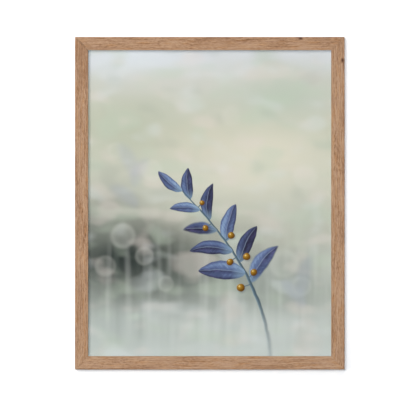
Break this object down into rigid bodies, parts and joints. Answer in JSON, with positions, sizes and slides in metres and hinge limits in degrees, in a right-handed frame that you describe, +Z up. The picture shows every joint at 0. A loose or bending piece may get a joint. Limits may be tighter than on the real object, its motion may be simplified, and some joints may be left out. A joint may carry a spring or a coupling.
{
  "type": "framed print",
  "caption": "Upright picture frame of mitred wooden rails round a glazed print, with a flat board held in by steel points and a sawtooth hanger behind.",
  "frame": {"origin": "where a hook or nail carries the frame: the seat of the sawtooth hanger's middle notch, half way through the strip; the wall plane is 0.5 mm behind it and the frame's top edge 10 mm above it", "axes": "+Z up, +Y towards the wall so that the front faces -Y, +X to the right as seen from the front"},
  "size_m": [0.428, 0.025, 0.528],
  "materials": {
    "oak": "oiled oak, satin",
    "clear_glass": "clear float glass",
    "photo_paper": null,
    "fibreboard": "bare fibreboard, matt",
    "spring_steel": "bare spring steel",
    "zinc_plated_steel": "bright zinc plate",
    "grey_rubber": "matt rubber"
  },
  "bodies": {
    "root": {"rail_top": "oak", "rail_bottom": "oak", "rail_left": "oak", "rail_right": "oak", "glazing": "clear_glass", "print": "photo_paper", "backing_board": "fibreboard", "flexible_point_top_1": "spring_steel", "flexible_point_top_2": "spring_steel", "flexible_point_bottom_1": "spring_steel", "flexible_point_bottom_2": "spring_steel", "flexible_point_left_1": "spring_steel", "flexible_point_left_2": "spring_steel", "flexible_point_left_3": "spring_steel", "flexible_point_right_1": "spring_steel", "flexible_point_right_2": "spring_steel", "flexible_point_right_3": "spring_steel", "v_nail_top_1": "spring_steel", "v_nail_top_2": "spring_steel", "v_nail_right_1": "spring_steel", "v_nail_right_2": "spring_steel", "v_nail_bottom_1": "spring_steel", "v_nail_bottom_2": "spring_steel", "v_nail_left_1": "spring_steel", "v_nail_left_2": "spring_steel", "hanger": "zinc_plated_steel", "hanger_nail_left": "zinc_plated_steel", "hanger_nail_right": "zinc_plated_steel", "bumper_left": "grey_rubber", "bumper_right": "grey_rubber"}
  },
  "joints": []
}
